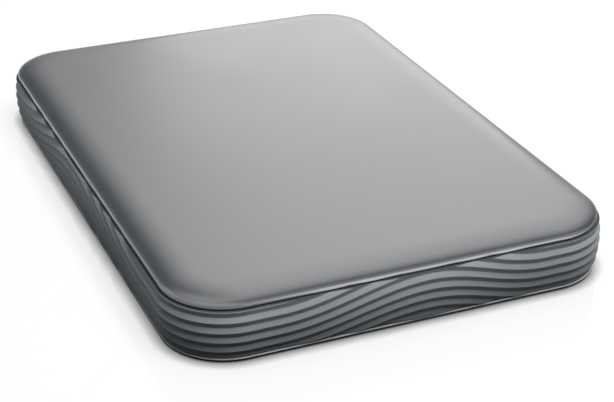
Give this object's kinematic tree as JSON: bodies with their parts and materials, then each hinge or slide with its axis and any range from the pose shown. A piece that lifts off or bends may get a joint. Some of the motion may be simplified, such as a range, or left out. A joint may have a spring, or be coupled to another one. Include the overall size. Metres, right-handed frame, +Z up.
{
  "type": "portable external hard drive",
  "caption": "Slim portable hard drive: satin cover with soft shoulders, wave-ribbed dark side band, data port at the back, disc drive inside.",
  "frame": {"origin": "middle of the underside, on the surface the drive lies on", "axes": "+Y along the length to the end with the port, +Z up through the cover, X across the width"},
  "size_m": [0.0816, 0.1166, 0.0118],
  "materials": {
    "cover_paint": "satin grey paint",
    "band_plastic": "matte dark grey moulding with sharp ribs",
    "bumper_rubber": "soft black rubber",
    "light_pipe_clear": "clear moulding",
    "light_lens": "pale lens",
    "board_laminate": "green lacquered laminate",
    "chip_resin": "black moulded resin",
    "port_steel": "folded bright steel",
    "connector_plastic": "black moulding",
    "contact_gold": "gold plating",
    "housing_casting": "fine cast aluminium",
    "lid_steel": "pressed steel",
    "motor_steel": "turned steel",
    "motor_aluminium": "turned aluminium",
    "winding_copper": "enamelled copper",
    "magnet_plating": "plated magnet",
    "disc_mirror": "polished disc",
    "arm_aluminium": "machined aluminium",
    "spring_steel": "thin rolled steel",
    "slider_ceramic": "dark ceramic",
    "ramp_plastic": "pale moulding",
    "filter_cloth": "white felt"
  },
  "bodies": {
    "enclosure": {"top_cover": "cover_paint", "base_tray": "band_plastic", "bumper_front_left": "bumper_rubber", "bumper_front_right": "bumper_rubber", "bumper_rear_left": "bumper_rubber", "bumper_rear_right": "bumper_rubber", "light_pipe": "light_pipe_clear", "status_light": "light_lens", "bridge_board": "board_laminate", "bridge_chips": "chip_resin", "port_shell": "port_steel", "port_insert": "connector_plastic", "port_contacts": "contact_gold", "drive_socket": "connector_plastic", "drive_base": "housing_casting", "drive_lid": "lid_steel", "drive_board": "board_laminate", "drive_board_chips": "chip_resin", "drive_plug": "connector_plastic", "plug_contacts": "contact_gold", "spindle_motor": "motor_steel", "pivot_post": "motor_steel", "lower_yoke": "motor_steel", "upper_yoke": "motor_steel", "lower_magnet": "magnet_plating", "upper_magnet": "magnet_plating", "crash_stops": "bumper_rubber", "load_ramp": "ramp_plastic", "flex_bracket": "connector_plastic", "air_filter": "filter_cloth"},
    "spindle": {"spindle_hub": "motor_aluminium", "platter": "disc_mirror", "disc_clamp": "motor_steel"},
    "actuator": {"arm_block": "arm_aluminium", "voice_coil": "winding_copper", "head_springs": "spring_steel", "head_sliders": "slider_ceramic"}
  },
  "joints": [
    {"name": "spindle_spin", "type": "hinge", "parent": "enclosure", "child": "spindle", "pos_m": [0, -0.01727, 0.0065], "axis": [0, 0, 1], "continuous": true},
    {"name": "actuator_swing", "type": "hinge", "parent": "enclosure", "child": "actuator", "pos_m": [0.018, 0.01875, 0.0065], "axis": [0, 0, 1], "range_deg": [0, 32.09]}
  ]
}
